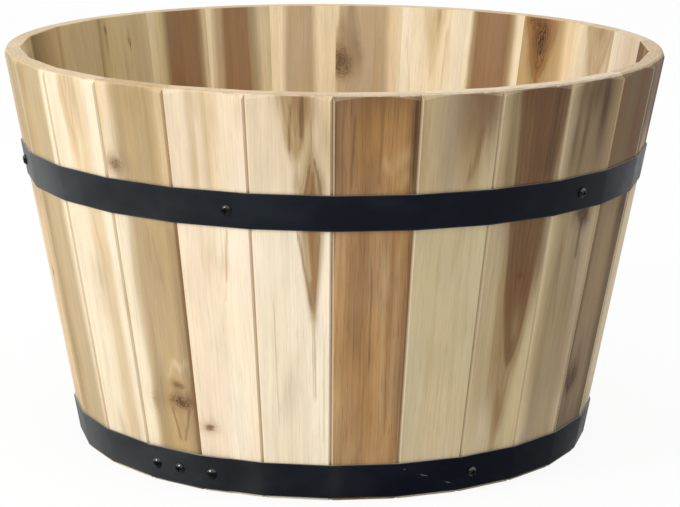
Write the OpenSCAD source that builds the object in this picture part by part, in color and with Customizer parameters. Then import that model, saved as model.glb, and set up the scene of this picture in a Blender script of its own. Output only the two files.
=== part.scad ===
// Wooden barrel planter: flat leaning staves round a board floor, held by two riveted steel hoops.
// Millimetres. +Z is up, the origin is the centre of the foot, and -Y is the front.
// Joints between staves are numbered round from the front; stave i lies between joints i and i + 1.

/* [Barrel] */
// Number of staves round the barrel
stave_count = 26; // [20:2:32]
// Diameter across the outside corners at the rim, before it is sanded round
rim_d = 561; // [440:1:680]
// Height from the ground to the rim's flat top
height = 336; // [260:1:420]
// Lean of the staves out from upright, in degrees
lean = 10.3; // [5:0.1:13]

/* [Staves] */
// Thickness of a stave
stave_t = 14; // [12:0.5:20]
// Gap left in each joint between staves
joint_gap = 0.1; // [0.05:0.05:0.3]
// Depth of the V-groove down the outside of each joint
vee_depth = 2; // [1:0.25:3]
// Radius that sanding leaves on the outside edge of the rim
rim_outer_r = 2.5; // [1:0.25:4]
// Slope of the sanding down the corners of the rim, out from upright, in degrees
sanding_slope = 20; // [15:1:30]
// Radius on the inside edge of the rim
rim_inner_r = 1; // [0.5:0.25:3]
// Thickness of the tongue on a stave's edge
tongue_t = 4; // [3:0.25:5]
// How far a stave's tongue stands out
tongue_reach = 3.5; // [2:0.25:5]
// Clearance round a tongue in its groove
tongue_gap = 0.2; // [0.1:0.05:0.4]

/* [Floor] */
// Height of the floor's underside above the ground
floor_z = 24; // [22:1:40]
// Thickness of the floor boards
floor_t = 12; // [9:0.5:18]
// Number of boards in the floor
board_count = 6; // [4:1:8]
// Gap left between neighbouring floor boards
board_gap = 0.6; // [0.2:0.1:1.5]
// Depth that the floor is let into the staves
croze_depth = 4.5; // [3:0.25:6]
// Clearance round the floor in its groove
croze_gap = 0.2; // [0.1:0.05:0.5]
// Diameter of a drain hole
drain_d = 12; // [8:0.5:16]
// Diameter of the circle that the four drain holes lie on
drain_circle_d = 300; // [240:5:320]

/* [Battens] */
// Width of a batten under the floor
batten_w = 40; // [30:1:50]
// Thickness of a batten
batten_t = 14; // [10:0.5:18]
// Distance between the centre lines of the two battens
batten_spacing = 110; // [90:2:130]
// Clearance between a batten's end and the staves
batten_end_gap = 4; // [2:0.5:10]
// Distance from a batten's end to its outermost screw
batten_edge = 24; // [15:1:30]

/* [Hoops] */
// Width of the hoop strip
hoop_w = 29.5; // [24:0.5:34]
// Thickness of the hoop strip
hoop_t = 1.2; // [0.8:0.1:2]
// Clearance between a hoop and the staves
hoop_fit = 0.1; // [0.05:0.05:0.3]
// Height of the upper hoop's lower edge
upper_hoop_z = 228; // [150:1:240]
// Height of the lower hoop's lower edge
lower_hoop_z = 2; // [1:0.5:4]
// Distance from the strip's outer end to the joint it lies beside
lap_setback = 1; // [0.5:0.5:3]
// Distance from a rivet to the joint on its left
rivet_inset = 9; // [8:0.5:12]
// Length of strip past the second rivet, to its hidden end
lap_tail = 12; // [8:0.5:14]
// Length over which the strip steps down off the lap
lap_step = 6; // [3:0.5:8]
// How much thinner the step's metal is on each side, where it is bent
bend_thin = 0.05; // [0.02:0.01:0.1]
// Straight length at each end of the step, before its slope begins
bend_lead = 0.4; // [0.2:0.1:0.8]
// Clearance between the two layers of the lap
lap_gap = 0.1; // [0.05:0.05:0.2]

/* [Fasteners] */
// Diameter of a hoop screw's pan head
screw_head_d = 8.6; // [7:0.2:10]
// Height of a hoop screw's pan head
screw_head_h = 2.5; // [2:0.1:3]
// Diameter of the screws' shanks
screw_d = 4; // [3:0.25:4.5]
// Length of a hoop screw under its head
screw_len = 12; // [8:0.5:13]
// Clearance round a screw, or a rivet, in its hole
screw_gap = 0.1; // [0.05:0.05:0.2]
// Least distance from a hoop screw to a joint
screw_edge = 9; // [7:0.5:12]
// Length of a batten screw
batten_screw_len = 22; // [18:0.5:24]
// Diameter of a batten screw's countersunk head
batten_screw_head_d = 8; // [7:0.2:9]
// Diameter of a rivet's domed head
rivet_head_d = 9.4; // [8:0.2:11]
// Height of a rivet's domed head
rivet_head_h = 3; // [2:0.1:4]
// Diameter of a rivet's shank
rivet_d = 4; // [3:0.25:5]
// Diameter of a rivet's flattened tail
rivet_tail_d = 7; // [6:0.25:8]
// Thickness of a rivet's flattened tail
rivet_tail_t = 0.8; // [0.5:0.1:1.2]
// Clearance round a rivet's tail in the wood
rivet_seat_gap = 0.2; // [0.1:0.05:0.4]

/* [Hidden] */
$fn = 64;
eps = 0.01;

// The barrel's outline, from the rim down
step_angle = 360 / stave_count;
stave_len = height / cos(lean);
rim_apothem = rim_d / 2 * cos(step_angle / 2);
foot_apothem = rim_apothem - height * tan(lean);
foot_corner = foot_apothem / cos(step_angle / 2);
corner_lean = atan(tan(lean) / cos(step_angle / 2));
wall_across = stave_t / cos(lean);
reach = rim_d; // longer than any cut needs

// The outside face's distance from the centre line at a height
function apothem(z) = foot_apothem + z * tan(lean);
// Half the width of a stave's outside face at a height
function half_face(z) = apothem(z) * tan(step_angle / 2);
// Distance up a leaning face for a height
function up_face(z) = z / cos(lean);

// The sanded rim: its rounds meet the flats at a faint edge, and the outer one ends at slope_z, where
// it comes down onto the middle of a face
faint = 0.02;
round_z = height - rim_outer_r + faint;
slope_z = round_z + (rim_outer_r - faint) * sin(sanding_slope);
slope_x = apothem(slope_z);
round_x = slope_x - (rim_outer_r - faint) * cos(sanding_slope);

// The floor
floor_mid = floor_z + floor_t / 2;
floor_r = apothem(floor_mid) - wall_across + croze_depth - croze_gap;
board_w = 2 * floor_r / board_count;
board_tongue_t = floor_t / 3;

// The battens
batten_z = floor_z - batten_t;
batten_far = (batten_spacing + batten_w) / 2;
batten_room = apothem(batten_z) - wall_across;
batten_half = sqrt(batten_room * batten_room - batten_far * batten_far) - batten_end_gap;

// The hoops: the joint where each one's lap begins, and the turns from the front at which its screws go
lower_lap = round(-41.5 / step_angle);
upper_lap = round(166 / step_angle);
lower_turns = [30.7, 90, 148, 206, 267];
upper_turns = [-80, -17.9, 48.8, 113, 230];
layer_step = hoop_t + lap_gap;
hoop_rise = hoop_w * cos(lean);
lower_mid = lower_hoop_z + hoop_rise / 2;
upper_mid = upper_hoop_z + hoop_rise / 2;

// The stave on which a turn from the front falls
function stave_at(turn) = floor(turn / step_angle);
// How far across its face a turn falls, kept off the joints
function across(turn, z) = let (
    x = apothem(z) * tan(turn - (stave_at(turn) + 0.5) * step_angle),
    most = half_face(z) - screw_edge
) max(-most, min(most, x));
// How far across its face a rivet lies, on both staves of a lap
function rivet_across(z) = rivet_inset - half_face(z);
// How far across its face the lap's own screw lies
lap_screw_across = 6;

// Screws and rivets
screw_point = 3;
recess_w = 1.1;
recess_len = 4.8;
recess_deep = 1.5;
pilot_over = 0.3;
hole_fn = 32;

wood_tones = ["#e3cfa6", "#d8bd90", "#c19a6b", "#e9d6b2", "#ceb384", "#a97a50"];
steel_black = "#1b1d22";
zinc_black = "#2a2c30";

stave_names = [for (i = [1 : stave_count]) str("stave_", i)];
board_names = [for (k = [1 : board_count]) str("floor_board_", k)];

// ---- Places on the barrel ----

// Turns a piece from the front of the barrel round to the middle of stave i
module turn_to(i) {
    rotate([0, 0, (i + 0.5) * step_angle]) children();
}

// The outside face of stave i: X across it, -Y out of it, Z up it from the ground
module on_face(i) {
    turn_to(i) translate([0, -foot_apothem, 0]) rotate([lean, 0, 0]) children();
}

// A point on stave i at a height and a distance across, with +Z pointing out of the face
module on_face_at(i, z, x) {
    on_face(i) translate([x, 0, up_face(z)]) rotate([90, 0, 0]) children();
}

// The sector that one stave fills, a gap short of the joint on each side
module sector(gap) {
    tip = gap / 2 / sin(step_angle / 2);
    half = (reach - tip) * tan(step_angle / 2);
    translate([0, 0, -1]) linear_extrude(height + 2) polygon([[0, -tip], [-half, -reach], [half, -reach]]);
}

// A bar down the joint on one side of a stave; its outline is drawn across the joint and in from the corner
module down_joint(side) {
    rotate([0, 0, side * step_angle / 2]) translate([0, -foot_corner, 0]) rotate([corner_lean, 0, 0])
        translate([0, 0, -stave_t]) linear_extrude(stave_len + 2 * stave_t) children();
}

// ---- Staves ----

// Side view of a planed board: X is outwards from the centre line, Y is up
module stave_side_view() {
    inside = rim_apothem - wall_across;
    set_in = rim_inner_r / tan(45 + lean / 2);
    difference() {
        polygon([
            [foot_apothem - wall_across, 0], [foot_apothem, 0], [rim_apothem, height], [inside, height]
        ]);
        difference() {
            polygon([
                [inside + set_in, height + eps], [inside - 1, height + eps],
                [inside - set_in * sin(lean) - 1, height - set_in * cos(lean)],
                [inside - set_in * sin(lean), height - set_in * cos(lean)],
                [inside + set_in, height - rim_inner_r]
            ]);
            translate([inside + set_in, height - rim_inner_r]) circle(rim_inner_r + faint);
        }
    }
}

// A planed board standing at the front, wider than the stave that is cut from it, with level ends
module stave_blank() {
    translate([-rim_d / 4, 0, 0]) rotate([90, 0, 90]) linear_extrude(rim_d / 2)
        mirror([1, 0]) stave_side_view();
}

module tongue_outline(clear) {
    translate([-tongue_reach, (stave_t - tongue_t) / 2 - clear])
        square([2 * tongue_reach + clear, tongue_t + 2 * clear]);
}

module vee_outline() {
    rotate(45) square(vee_depth * sqrt(2), center = true);
}

// One tapered stave at the front: mitred edges, a tongue, a groove and half of each V-groove
module plain_stave() {
    difference() {
        intersection() {
            stave_blank();
            union() {
                sector(joint_gap);
                intersection() {
                    down_joint(1) tongue_outline(0);
                    translate([0, -reach, -1]) cube([reach, reach, height + 2]);
                }
            }
        }
        down_joint(-1) tongue_outline(tongue_gap);
        down_joint(-1) vee_outline();
        down_joint(1) vee_outline();
    }
}

// What sanding takes off the rim all round: a round along its outside edge, and its corners below that
module rim_sanding() {
    out = 2 * stave_t;
    rotate_extrude($fn = 180) difference() {
        polygon([
            [round_x, height + 1], [round_x, round_z], [slope_x, slope_z],
            [slope_x + out * sin(sanding_slope), slope_z - out * cos(sanding_slope)],
            [slope_x + out, height + 1]
        ]);
        translate([round_x, round_z]) circle(rim_outer_r);
    }
}

// The groove that takes the floor's edge, cut round the inside of the barrel
module croze() {
    translate([0, 0, floor_z - croze_gap])
        cylinder(r = floor_r + croze_gap, h = floor_t + 2 * croze_gap, $fn = 180);
}

// The hole that a hoop screw makes in the wood, down from its face
module screw_hole_in_wood(lift) {
    translate([0, 0, -(screw_len - hoop_fit - hoop_t - lift) - pilot_over])
        cylinder(d = screw_d + 2 * screw_gap, h = screw_len + pilot_over, $fn = hole_fn);
}

// The shallow seat in the wood for a rivet's tail
module rivet_seat() {
    translate([0, 0, hoop_fit - rivet_tail_t - rivet_seat_gap])
        cylinder(d = rivet_tail_d + 2 * rivet_seat_gap, h = rivet_tail_t + stave_t, $fn = hole_fn);
}

// True for the stave numbers i and j that name the same stave
function same_stave(i, j) = (i - j) % stave_count == 0;

// What one hoop's fasteners cut out of stave i
module fastener_cuts(i, z, lap, turns) {
    for (turn = turns) if (same_stave(i, stave_at(turn)))
        on_face_at(i, z, across(turn, z)) screw_hole_in_wood(0);
    if (same_stave(i, lap)) on_face_at(i, z, lap_screw_across) screw_hole_in_wood(layer_step);
    for (j = [lap, lap + 1]) if (same_stave(i, j)) on_face_at(i, z, rivet_across(z)) rivet_seat();
}

module stave(i) {
    color(wood_tones[(i * 7) % 6]) difference() {
        turn_to(i) plain_stave();
        rim_sanding();
        croze();
        fastener_cuts(i, lower_mid, lower_lap, lower_turns);
        fastener_cuts(i, upper_mid, upper_lap, upper_turns);
    }
}

// ---- Floor ----

function board_x(k) = -floor_r + k * board_w;
// Where a batten screw enters board k: its middle, or as far out as the batten allows
function board_screw_x(k) =
    max(-batten_half + batten_edge, min(batten_half - batten_edge, board_x(k) + board_w / 2));

module board_tongue(k, clear) {
    translate([board_x(k) + board_w - board_tongue_t, -reach / 2, floor_mid - board_tongue_t / 2 - clear])
        cube([2 * board_tongue_t + clear, reach, board_tongue_t + 2 * clear]);
}

module drain_holes() {
    for (turn = [45 : 90 : 315]) rotate([0, 0, turn]) translate([drain_circle_d / 2, 0, floor_z - 1])
        cylinder(d = drain_d, h = floor_t + 2, $fn = hole_fn);
}

module floor_board(k) {
    color(wood_tones[(k * 5 + 1) % 6]) difference() {
        intersection() {
            translate([0, 0, floor_z]) cylinder(r = floor_r, h = floor_t, $fn = 180);
            union() {
                translate([board_x(k) + board_gap / 2, -reach / 2, 0]) cube([board_w - board_gap, reach, height]);
                if (k < board_count - 1) board_tongue(k, 0);
            }
        }
        if (k > 0) board_tongue(k - 1, tongue_gap);
        drain_holes();
        batten_screw_places() batten_screw_hole();
    }
}

// ---- Battens ----

// Every place where a screw goes up through a batten into a floor board, seen from below the batten
module batten_screw_places() {
    for (side = [-1, 1], k = [0 : board_count - 1])
        translate([board_screw_x(k), side * batten_spacing / 2, batten_z]) children();
}

module batten_screw_hole() {
    cylinder(d = screw_d + 2 * screw_gap, h = batten_screw_len + pilot_over, $fn = hole_fn);
    countersink(screw_gap);
}

module countersink(clear) {
    deep = (batten_screw_head_d - screw_d) / 2;
    translate([0, 0, -eps]) cylinder(d1 = batten_screw_head_d + 2 * clear + 2 * eps, d2 = screw_d + 2 * clear,
        h = deep + eps, $fn = hole_fn);
}

module batten(side) {
    color(wood_tones[4]) difference() {
        translate([-batten_half, side * batten_spacing / 2 - batten_w / 2, batten_z])
            cube([2 * batten_half, batten_w, batten_t]);
        batten_screw_places() batten_screw_hole();
    }
}

module batten_screw() {
    deep = (batten_screw_head_d - screw_d) / 2;
    difference() {
        union() {
            cylinder(d1 = batten_screw_head_d, d2 = screw_d, h = deep, $fn = hole_fn);
            cylinder(d = screw_d, h = batten_screw_len - screw_point, $fn = hole_fn);
            translate([0, 0, batten_screw_len - screw_point])
                cylinder(d1 = screw_d, d2 = 0.4, h = screw_point, $fn = hole_fn);
        }
        cross_recess();
    }
}

// The cross in a screw's head, cut up from its top face at z = 0
module cross_recess() {
    for (turn = [0, 90]) rotate([0, 0, turn])
        translate([-recess_len / 2, -recess_w / 2, -1]) cube([recess_len, recess_w, recess_deep + 1]);
}

// ---- Hoops ----

// A flat slab at a hoop's height, trimmed to the barrel's faces moved out by a distance
module trimmed_slab(z, h, out) {
    wide = 1.4 * half_face(height);
    difference() {
        translate([0, 0, z]) cylinder(r = rim_d / 2 + stave_t, h = h);
        for (i = [0 : stave_count - 1]) on_face(i)
            translate([-wide, -out - reach, -stave_t]) cube([2 * wide, reach, stave_len + 2 * stave_t]);
    }
}

// A closed ring of strip that follows every face, a number of layers out
module strip_ring(z, layer) {
    inside = hoop_fit + layer * layer_step;
    difference() {
        trimmed_slab(z, hoop_rise, inside + hoop_t);
        trimmed_slab(z - stave_t, hoop_rise + 2 * stave_t, inside);
    }
}

// The space round stave i's face, between two distances across it
module space_on(i, x0, x1) {
    deep = half_face(height);
    on_face(i) translate([x0, -deep, -stave_t]) cube([x1 - x0, 2 * deep, stave_len + 2 * stave_t]);
}

// Plan of the step where the strip comes down off the lap onto the wood, between two distances across
// the face; the bend draws the metal a little thinner, and each end runs on straight inside the strip
module step_plan(x0, x1) {
    low = -hoop_fit - hoop_t + bend_thin;
    high = low - layer_step;
    thick = hoop_t - 2 * bend_thin;
    polygon([
        [x0 - hoop_t, high], [x0 + bend_lead, high], [x1 - bend_lead, low], [x1 + hoop_t, low],
        [x1 + hoop_t, low + thick], [x1 - bend_lead, low + thick], [x0 + bend_lead, high + thick],
        [x0 - hoop_t, high + thick]
    ]);
}

// A hoop as one strip: its outer end stops beside joint lap, and its inner end lies under it past the next
module hoop(z, lap, turns) {
    mid = z + hoop_rise / 2;
    tail = rivet_across(mid) + lap_tail;
    start = lap_setback - half_face(mid);
    color(steel_black) difference() {
        union() {
            difference() {
                strip_ring(z, 0);
                space_on(lap + 1, tail, tail + lap_gap + lap_step);
            }
            intersection() {
                strip_ring(z, 1);
                space_on(lap, start, start + reach);
                space_on(lap + 1, tail + lap_gap - reach, tail + lap_gap);
            }
            intersection() {
                on_face(lap + 1) linear_extrude(stave_len)
                    step_plan(tail + lap_gap, tail + lap_gap + lap_step);
                translate([0, 0, z]) cylinder(r = reach, h = hoop_rise);
            }
        }
        for (turn = turns) on_face_at(stave_at(turn), mid, across(turn, mid)) strip_hole(screw_d);
        on_face_at(lap, mid, lap_screw_across) strip_hole(screw_d);
        for (j = [lap, lap + 1]) on_face_at(j, mid, rivet_across(mid)) strip_hole(rivet_d);
    }
}

module strip_hole(d) {
    translate([0, 0, -hoop_t]) cylinder(d = d + 2 * screw_gap, h = 5 * hoop_t, $fn = hole_fn);
}

// ---- Fasteners ----

// A pan-head screw standing on the strip, its shank down -Z
module hoop_screw() {
    dome_r = (screw_head_d * screw_head_d / 4 + screw_head_h * screw_head_h) / (2 * screw_head_h);
    brim = screw_head_h / 3;
    difference() {
        union() {
            intersection() {
                translate([0, 0, brim + screw_head_h - dome_r]) sphere(dome_r, $fn = 64);
                cylinder(d = screw_head_d, h = screw_head_h);
            }
            translate([0, 0, -screw_len + screw_point])
                cylinder(d = screw_d, h = screw_len - screw_point + eps, $fn = hole_fn);
            translate([0, 0, -screw_len]) cylinder(d1 = 0.4, d2 = screw_d, h = screw_point, $fn = hole_fn);
        }
        translate([0, 0, screw_head_h]) mirror([0, 0, 1]) cross_recess();
    }
}

module hoop_screws(z, lap, turns) {
    color(zinc_black) {
        for (turn = turns) on_face_at(stave_at(turn), z, across(turn, z))
            translate([0, 0, hoop_fit + hoop_t]) hoop_screw();
        on_face_at(lap, z, lap_screw_across) translate([0, 0, hoop_fit + hoop_t + layer_step]) hoop_screw();
    }
}

// A domed rivet through both layers of the lap, its tail flattened against the inner one
module rivet() {
    dome_r = (rivet_head_d * rivet_head_d / 4 + rivet_head_h * rivet_head_h) / (2 * rivet_head_h);
    grip = hoop_t + layer_step;
    intersection() {
        translate([0, 0, rivet_head_h - dome_r]) sphere(dome_r);
        cylinder(d = rivet_head_d + 1, h = rivet_head_h + 1);
    }
    translate([0, 0, -grip - rivet_tail_t]) cylinder(d = rivet_d, h = grip + rivet_tail_t + eps, $fn = hole_fn);
    translate([0, 0, -grip - rivet_tail_t]) cylinder(d = rivet_tail_d, h = rivet_tail_t, $fn = hole_fn);
}

module hoop_rivets(z, lap) {
    color(zinc_black) for (j = [lap, lap + 1])
        on_face_at(j, z, rivet_across(z)) translate([0, 0, hoop_fit + hoop_t + layer_step]) rivet();
}

// ---- The planter ----

for (i = [0 : stave_count - 1]) stave(i);
for (k = [0 : board_count - 1]) floor_board(k);
batten(-1);  // batten_front
batten(1);  // batten_rear
hoop(upper_hoop_z, upper_lap, upper_turns);  // upper_hoop
hoop(lower_hoop_z, lower_lap, lower_turns);  // lower_hoop
hoop_rivets(upper_mid, upper_lap);  // upper_hoop_rivets
hoop_rivets(lower_mid, lower_lap);  // lower_hoop_rivets
hoop_screws(upper_mid, upper_lap, upper_turns);  // upper_hoop_screws
hoop_screws(lower_mid, lower_lap, lower_turns);  // lower_hoop_screws
color(zinc_black) batten_screw_places() batten_screw();  // batten_screws
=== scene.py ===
import bpy
from math import cos, pi, radians, sin, tan
from mathutils import Matrix, Vector


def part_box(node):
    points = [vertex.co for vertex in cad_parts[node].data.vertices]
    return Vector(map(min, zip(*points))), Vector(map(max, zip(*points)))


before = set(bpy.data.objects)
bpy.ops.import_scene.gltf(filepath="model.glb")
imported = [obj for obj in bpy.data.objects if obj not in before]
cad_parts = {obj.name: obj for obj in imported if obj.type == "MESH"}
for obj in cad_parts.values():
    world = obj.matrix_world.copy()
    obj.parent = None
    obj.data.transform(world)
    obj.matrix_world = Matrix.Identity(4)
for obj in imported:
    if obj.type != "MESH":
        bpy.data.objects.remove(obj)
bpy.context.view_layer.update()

# Camera: a long lens about two metres in front of the planter and a little above its rim, looking
# down 13 degrees, so that the inside of the far wall shows over the front of the rim.
camera_at = (0.00905, -2.1260, 0.6306)
camera_down = 12.6757
camera_turned = 0.2438
camera_rolled = 0.372
lens = bpy.data.cameras.new("photo_lens")
lens.lens, lens.sensor_width, lens.shift_x = 132.78, 36.0, 0.0100
lens.clip_start, lens.clip_end = 0.05, 60.0
camera = bpy.data.objects.new("photo_camera", lens)
camera.location = camera_at
camera.rotation_euler = (Matrix.Rotation(radians(camera_turned), 3, "Z")
                         @ Matrix.Rotation(radians(90 - camera_down), 3, "X")
                         @ Matrix.Rotation(radians(camera_rolled), 3, "Z")).to_euler()
bpy.context.collection.objects.link(camera)
bpy.context.scene.camera = camera
bpy.context.scene.view_settings.view_transform = "Standard"

# Studio: a white sweep under and round the planter, one broad soft lamp up to the left of the
# camera, and a pale glow from overhead, so that only a faint shadow lies at the foot.
white = (1.0, 1.0, 1.0, 1.0)
glow_colour = (0.97, 0.985, 1.0, 1.0)
glow_level, glow_overhead, glow_full_at = 0.38, 1.12, 0.9
sky = bpy.data.worlds.new("white_studio")
sky.use_nodes = True
bpy.context.scene.world = sky
sky_nodes, sky_links = sky.node_tree.nodes, sky.node_tree.links
glow = sky_nodes["Background"]
glow.inputs["Color"].default_value = glow_colour
way = sky_nodes.new("ShaderNodeSeparateXYZ")
sky_links.new(sky_nodes.new("ShaderNodeTexCoord").outputs["Generated"], way.inputs[0])
rise = sky_nodes.new("ShaderNodeMapRange")
for socket, value in (("From Min", 0.0), ("From Max", glow_full_at),
                      ("To Min", glow_level), ("To Max", glow_overhead)):
    rise.inputs[socket].default_value = value
sky_links.new(way.outputs[2], rise.inputs["Value"])
sky_links.new(rise.outputs[0], glow.inputs["Strength"])
backdrop = sky_nodes.new("ShaderNodeBackground")
backdrop.inputs["Color"].default_value = white
backdrop.inputs["Strength"].default_value = 1.0


def looked_at(tree):
    """1 for a ray that the eye, a gloss or a glass sends out, and 0 for one that brings light."""
    ray = tree.nodes.new("ShaderNodeLightPath")
    best = ray.outputs["Is Camera Ray"]
    for other in ("Is Glossy Ray", "Is Transmission Ray"):
        most = tree.nodes.new("ShaderNodeMath")
        most.operation = "MAXIMUM"
        tree.links.new(best, most.inputs[0])
        tree.links.new(ray.outputs[other], most.inputs[1])
        best = most.outputs[0]
    return best


split = sky_nodes.new("ShaderNodeMixShader")
sky_links.new(looked_at(sky.node_tree), split.inputs[0])
sky_links.new(glow.outputs[0], split.inputs[1])
sky_links.new(backdrop.outputs[0], split.inputs[2])
sky_links.new(split.outputs[0], sky_nodes["World Output"].inputs["Surface"])

sweep_half, sweep_drop = 30, 0.0005
paper_grey, paper_rough, paper_bleach = 0.88, 0.9, 0.91
sweep_mesh = bpy.data.meshes.new("floor_sweep")
sweep_mesh.from_pydata([(-sweep_half, -sweep_half, 0), (sweep_half, -sweep_half, 0),
                        (sweep_half, sweep_half, 0), (-sweep_half, sweep_half, 0)], [], [(0, 1, 2, 3)])
sweep = bpy.data.objects.new("floor_sweep", sweep_mesh)
sweep.location.z = -sweep_drop
bpy.context.collection.objects.link(sweep)
paper = bpy.data.materials.new("white_paper")
paper.use_nodes = True
paper_nodes, paper_links = paper.node_tree.nodes, paper.node_tree.links
matt = paper_nodes["Principled BSDF"]
matt.inputs["Base Color"].default_value = (paper_grey, paper_grey, paper_grey, 1.0)
matt.inputs["Roughness"].default_value = paper_rough
bleach = paper_nodes.new("ShaderNodeEmission")
bleach.inputs["Color"].default_value = white
bleached = paper_nodes.new("ShaderNodeMixShader")
bleached.inputs[0].default_value = paper_bleach
paper_links.new(matt.outputs[0], bleached.inputs[1])
paper_links.new(bleach.outputs[0], bleached.inputs[2])
by_eye = paper_nodes.new("ShaderNodeMixShader")
paper_links.new(looked_at(paper.node_tree), by_eye.inputs[0])
paper_links.new(matt.outputs[0], by_eye.inputs[1])
paper_links.new(bleached.outputs[0], by_eye.inputs[2])
paper_links.new(by_eye.outputs[0], paper_nodes["Material Output"].inputs["Surface"])
sweep_mesh.materials.append(paper)

softbox = bpy.data.lights.new("softbox", "AREA")
softbox.shape = "RECTANGLE"
softbox.size, softbox.size_y, softbox.energy = 1.0, 1.0, 54.0
softbox.color = (1.0, 0.985, 0.96)
softbox_aim = Vector((0, 0, 0.2))
softbox_stand = bpy.data.objects.new("softbox", softbox)
softbox_stand.location = (-2.3, -1.7, 1.9)
softbox_stand.rotation_euler = (softbox_aim - softbox_stand.location).to_track_quat("-Z", "Y").to_euler()
bpy.context.collection.objects.link(softbox_stand)

# Staves: 26 flat acacia boards that lean out 10 degrees, planed, mitred and V-grooved down each
# joint. Each was ripped across pale sapwood and brown heartwood, so no two have the same stripes.
stave_count = 26
stave_turn = 2 * pi / stave_count
stave_lean = radians(10.3)
mm = 1000
stripe_span = 76.0
foot_stripes_end, rim_stripes_start = 205.0, 275.0
grain_step = 37.0
board_dent = 0.00008
board_rough, thread_rough = 0.46, 0.18
board_shine = 0.07


def tone(red, green, blue):
    """A wood or paint colour as the eye gives it, 0 to 255, turned into a shader's own scale."""
    full = [v / 255 for v in (red, green, blue)]
    return tuple(v / 12.92 if v <= 0.04045 else ((v + 0.055) / 1.055) ** 2.4 for v in full) + (1.0,)


wood_tones = {
    "pale": tone(250, 235, 207), "butter": tone(250, 230, 192), "ivory": tone(242, 228, 203),
    "cream": tone(240, 222, 190), "peach": tone(244, 216, 176), "linen": tone(234, 219, 190),
    "blush": tone(236, 216, 190), "bone": tone(222, 201, 171), "sand": tone(232, 209, 168),
    "hay": tone(228, 208, 160), "straw": tone(222, 198, 158), "wheat": tone(216, 192, 146),
    "biscuit": tone(214, 187, 149), "oat": tone(201, 177, 141), "sawn": tone(198, 175, 139),
    "green": tone(204, 187, 150), "khaki": tone(190, 169, 132), "stone": tone(176, 157, 128),
    "drab": tone(177, 153, 114), "ash": tone(163, 144, 113), "olive": tone(162, 138, 102),
    "moss": tone(141, 120, 90), "peat": tone(114, 93, 67), "honey": tone(198, 168, 124),
    "fawn": tone(190, 163, 120), "rust": tone(184, 145, 101), "ember": tone(166, 128, 86),
    "mocha": tone(160, 126, 94), "umber": tone(152, 116, 78), "walnut": tone(128, 98, 70),
    "cocoa": tone(120, 90, 62), "wine": tone(110, 80, 57), "dark": tone(84, 62, 46),
    "bark": tone(62, 42, 30),
}


class Finish:
    """The nodes of one wood, paint or plating, laid out by what each does to it."""

    def __init__(self, name):
        self.material = bpy.data.materials.new(name)
        self.material.use_nodes = True
        self.links = self.material.node_tree.links
        self.shader = self.material.node_tree.nodes["Principled BSDF"]

    def feed(self, value, socket):
        if isinstance(value, bpy.types.NodeSocket):
            self.links.new(value, socket)
        else:
            socket.default_value = value

    def put(self, kind, inputs, **settings):
        node = self.material.node_tree.nodes.new("ShaderNode" + kind)
        for key, value in settings.items():
            setattr(node, key, value)
        for key, value in inputs.items():
            self.feed(value, node.inputs[key])
        return node

    def sum(self, work, a, b=0.0):
        return self.put("Math", {0: a, 1: b}, operation=work).outputs[0]

    def add(self, a, b):
        return self.sum("ADD", a, b)

    def less(self, a, b):
        return self.sum("SUBTRACT", a, b)

    def times(self, a, b):
        return self.sum("MULTIPLY", a, b)

    def squared(self, a):
        return self.times(a, a)

    def fade(self, value, low, high, start=0.0, end=1.0):
        return self.put("MapRange", {"Value": value, "From Min": low, "From Max": high,
                                     "To Min": start, "To Max": end},
                        interpolation_type="SMOOTHSTEP").outputs[0]

    def place(self, x, y, z):
        return self.put("CombineXYZ", {0: x, 1: y, 2: z}).outputs[0]

    def apart(self, vector):
        return self.put("SeparateXYZ", {0: vector}).outputs

    def cloud(self, where, detail, rough):
        return self.put("TexNoise", {"Vector": where, "Scale": 1.0, "Detail": detail,
                                     "Roughness": rough}).outputs["Fac"]

    def cloud_in(self, scale, detail, rough):
        """A cloud in the planter's own metres, so many of its lumps to the metre each way."""
        at = self.put("TexCoord", {}).outputs["Object"]
        return self.cloud(self.put("Mapping", {"Vector": at, "Scale": scale}).outputs[0], detail, rough)

    def blend(self, share, a, b, work="MIX"):
        node = self.put("Mix", {}, data_type="RGBA", blend_type=work)
        self.feed(share, node.inputs[0])
        self.feed(a, node.inputs[6])
        self.feed(b, node.inputs[7])
        return node.outputs[2]

    def ramp(self, value, stops):
        node = self.put("ValToRGB", {0: value})
        points = node.color_ramp.elements
        while len(points) < len(stops):
            points.new(0.5)
        for point, (at, colour) in zip(points, stops):
            point.position, point.color = at, colour
        return node.outputs

    def wear_on(self, colour, rough, dents, depth):
        self.feed(colour, self.shader.inputs["Base Color"])
        self.feed(rough, self.shader.inputs["Roughness"])
        bump = self.put("Bump", {"Height": dents, "Strength": 1.0, "Distance": depth})
        self.feed(bump.outputs[0], self.shader.inputs["Normal"])


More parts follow.
